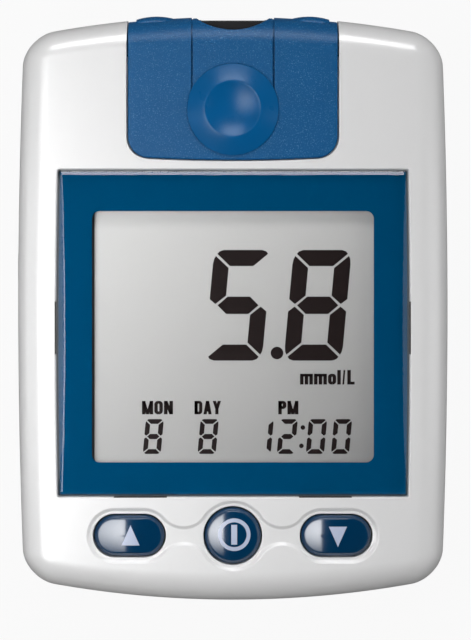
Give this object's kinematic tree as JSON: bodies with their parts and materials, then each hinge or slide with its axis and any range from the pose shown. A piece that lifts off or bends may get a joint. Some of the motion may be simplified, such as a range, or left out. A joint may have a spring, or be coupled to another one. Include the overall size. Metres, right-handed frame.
{
  "type": "blood glucose meter",
  "caption": "Hand-held blood glucose meter: white two-part case, blue strip-port cover with sliding ejector, bevelled display lens, three keys, side button and battery door.",
  "frame": {"origin": "middle of the flat back face that the meter lies on", "axes": "+X to the right seen from the front, +Y along the case towards the test strip end, +Z out of the display face"},
  "size_m": [0.0644, 0.087, 0.0224],
  "materials": {
    "case_white": "pearl white paint over moulded plastic, soft gloss",
    "cover_blue": "blue moulded plastic with a fine spark texture",
    "pad_blue": "smooth satin blue moulded plastic",
    "key_navy": "glossy navy blue key with a pale printed symbol",
    "lens_clear": "clear hard-coated plastic lens with bevelled edges",
    "print_blue": "blue print on the back of the lens",
    "lcd_grey": "grey display glass with dark segments",
    "reflector": "thin satin reflector",
    "holder_white": "white moulded frame",
    "black_rubber": "black soft rubber",
    "black_plastic": "black moulded plastic",
    "board_green": "green solder mask over glass laminate",
    "part_tan": "small ceramic parts",
    "brass": "plated contact springs",
    "steel": "plain bright steel",
    "cell_wrap": "plain dark cell wrapper"
  },
  "bodies": {
    "housing": {"front_case": "case_white", "back_case": "case_white", "port_cover": "cover_blue", "display_lens": "lens_clear", "lens_print": "print_blue", "lcd_gasket": "black_rubber", "lcd_glass": "lcd_grey", "lcd_reflector": "reflector", "lcd_holder": "holder_white", "zebra_strips": "black_rubber", "main_board": "board_green", "processor": "black_plastic", "analog_chip": "black_plastic", "crystal": "steel", "board_passives": "part_tan", "buzzer": "black_plastic", "strip_port": "black_plastic", "strip_contacts": "brass", "ejector_spring": "steel", "up_switch": "black_plastic", "power_switch": "black_plastic", "down_switch": "black_plastic", "set_switch": "black_plastic", "battery_upper": "cell_wrap", "battery_lower": "cell_wrap", "battery_springs": "steel", "battery_plates": "steel", "case_screws": "steel", "board_screws": "steel"},
    "ejector": {"ejector_slider": "cover_blue", "ejector_pad": "pad_blue"},
    "up_key_body": {"up_key": "key_navy", "up_plunger": "steel"},
    "power_key_body": {"power_key": "key_navy", "power_plunger": "steel"},
    "down_key_body": {"down_key": "key_navy", "down_plunger": "steel"},
    "set_button_body": {"set_button": "case_white", "set_plunger": "steel"},
    "battery_door_body": {"battery_door": "case_white"}
  },
  "joints": [
    {"name": "eject_slide", "type": "slide", "parent": "housing", "child": "ejector", "axis": [0, 1, 0], "range_m": [0, 0.0045], "stiffness_N_per_m": 250, "deforming": ["ejector_spring"]},
    {"name": "up_press", "type": "slide", "parent": "housing", "child": "up_key_body", "axis": [0, 0, -1], "range_m": [0, 0.0005], "stiffness_N_per_m": 1200},
    {"name": "power_press", "type": "slide", "parent": "housing", "child": "power_key_body", "axis": [0, 0, -1], "range_m": [0, 0.0005], "stiffness_N_per_m": 1200},
    {"name": "down_press", "type": "slide", "parent": "housing", "child": "down_key_body", "axis": [0, 0, -1], "range_m": [0, 0.0005], "stiffness_N_per_m": 1200},
    {"name": "set_press", "type": "slide", "parent": "housing", "child": "set_button_body", "axis": [1, 0, 0], "range_m": [0, 0.00035], "stiffness_N_per_m": 1200},
    {"name": "door_slide", "type": "slide", "parent": "housing", "child": "battery_door_body", "axis": [0, -1, 0], "range_m": [0, 0.03]}
  ]
}
